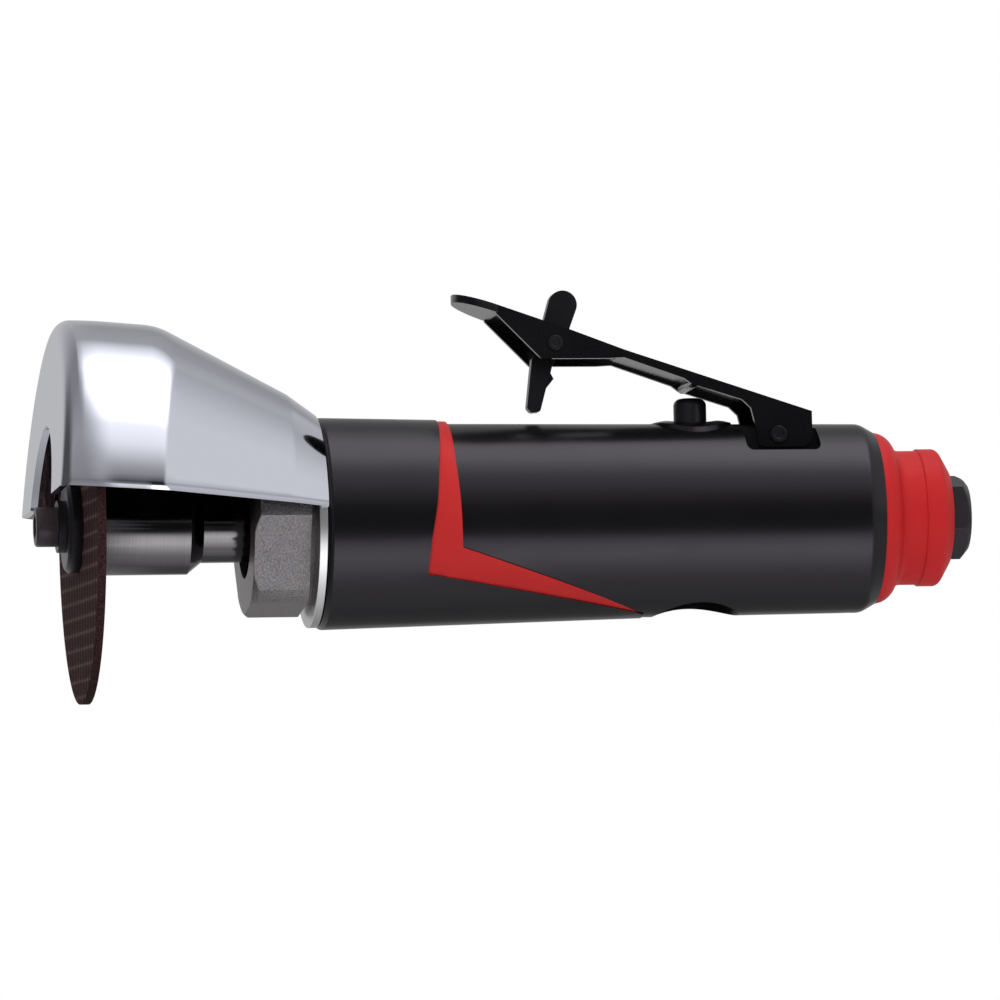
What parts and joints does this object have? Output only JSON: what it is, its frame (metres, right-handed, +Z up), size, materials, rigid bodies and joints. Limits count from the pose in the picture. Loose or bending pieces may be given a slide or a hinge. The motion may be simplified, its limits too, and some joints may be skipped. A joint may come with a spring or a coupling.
{
  "type": "pneumatic cut off tool",
  "caption": "In-line air-powered cut off tool: abrasive wheel under a chromed swivel guard, vane motor in a black grip, sprung throttle lever with safety latch, threaded air inlet.",
  "frame": {"origin": "centre of the air inlet's mouth, on the tool's axis", "axes": "+X along the tool's axis, out of the air inlet; +Z up, on the lever's side"},
  "size_m": [0.2026, 0.0842, 0.088],
  "materials": {
    "housing_black": "satin moulded",
    "accent_red": "satin moulded",
    "cover_red": "satin moulded",
    "nut_steel": "forged, grainy",
    "chrome": "polished",
    "arbor_steel": "black oxide, turned",
    "abrasive": "resin bonded, woven reinforcement",
    "bright_steel": "ground",
    "dark_steel": "black oxide",
    "lever_black": "gloss black",
    "latch_black": "satin black",
    "brass": "turned",
    "seal_rubber": "matt",
    "felt": "pressed felt",
    "vane_phenolic": "laminated",
    "cage_steel": "pressed"
  },
  "bodies": {
    "housing": {"housing": "housing_black", "accent_inlay": "accent_red", "clamp_nut": "nut_steel", "front_dust_seal": "felt", "front_end_plate": "bright_steel", "front_bearing_outer_ring": "bright_steel", "cylinder_liner": "bright_steel", "liner_pin": "bright_steel", "rear_end_plate": "bright_steel", "rear_bearing_outer_ring": "bright_steel", "rear_gasket": "seal_rubber", "lever_pin": "dark_steel", "valve_bushing": "brass", "valve_bushing_o_ring": "seal_rubber", "valve_spring": "bright_steel", "regulator_clip": "dark_steel", "exhaust_cover": "cover_red", "exhaust_muffler": "felt", "inlet_bushing": "dark_steel", "inlet_o_ring": "seal_rubber", "inlet_screen": "bright_steel"},
    "spindle": {"rotor": "bright_steel", "rotor_vanes": "vane_phenolic", "front_bearing_inner_ring": "bright_steel", "rear_bearing_inner_ring": "bright_steel", "spindle_arbor": "arbor_steel", "cutting_wheel": "abrasive", "wheel_bore_ring": "bright_steel", "wheel_flange": "dark_steel", "lock_washer": "dark_steel", "wheel_screw": "dark_steel"},
    "front_balls": {"front_bearing_balls": "bright_steel", "front_bearing_cage": "cage_steel"},
    "rear_balls": {"rear_bearing_balls": "bright_steel", "rear_bearing_cage": "cage_steel"},
    "guard": {"wheel_guard": "chrome"},
    "lever": {"throttle_lever": "lever_black", "latch_pin": "dark_steel", "latch_spring": "bright_steel"},
    "latch": {"safety_latch": "latch_black"},
    "plunger": {"throttle_plunger": "dark_steel", "poppet_valve": "brass", "valve_seal": "seal_rubber"},
    "regulator": {"regulator_knob": "bright_steel", "regulator_o_ring": "seal_rubber"}
  },
  "joints": [
    {"name": "spindle_spin", "type": "hinge", "parent": "housing", "child": "spindle", "pos_m": [0, 0, 0], "axis": [1, 0, 0], "continuous": true},
    {"name": "front_balls_spin", "type": "hinge", "parent": "housing", "child": "front_balls", "pos_m": [0, 0, 0], "axis": [1, 0, 0], "continuous": true},
    {"name": "rear_balls_spin", "type": "hinge", "parent": "housing", "child": "rear_balls", "pos_m": [0, 0, 0], "axis": [1, 0, 0], "continuous": true},
    {"name": "guard_swivel", "type": "hinge", "parent": "housing", "child": "guard", "pos_m": [0, 0, 0], "axis": [1, 0, 0], "continuous": true},
    {"name": "lever_press", "type": "hinge", "parent": "housing", "child": "lever", "pos_m": [-0.0423, 0, 0.0176], "axis": [0, -1, 0], "range_deg": [0, 12], "stiffness_Nm_per_rad": 0.5, "springref_deg": -17.19},
    {"name": "latch_tilt", "type": "hinge", "parent": "lever", "child": "latch", "pos_m": [-0.09046, 0, 0.03781], "axis": [0, -1, 0], "range_deg": [-90.5, 0], "deforming": ["latch_spring"]},
    {"name": "plunger_slide", "type": "slide", "parent": "housing", "child": "plunger", "axis": [0, 0, -1], "range_m": [0, 0.0021], "deforming": ["valve_spring"]},
    {"name": "regulator_turn", "type": "hinge", "parent": "housing", "child": "regulator", "pos_m": [-0.06, 0, 0], "axis": [0, 0, 1], "range_deg": [0, 90]}
  ],
  "couplings": [
    {"joint": "front_balls_spin", "follows": "spindle_spin", "ratio": 0.36778},
    {"joint": "rear_balls_spin", "follows": "spindle_spin", "ratio": 0.36767},
    {"joint": "latch_tilt", "follows": "lever_press", "ratio": -7.5},
    {"joint": "plunger_slide", "follows": "lever_press", "m_per_rad": 0.0098}
  ]
}
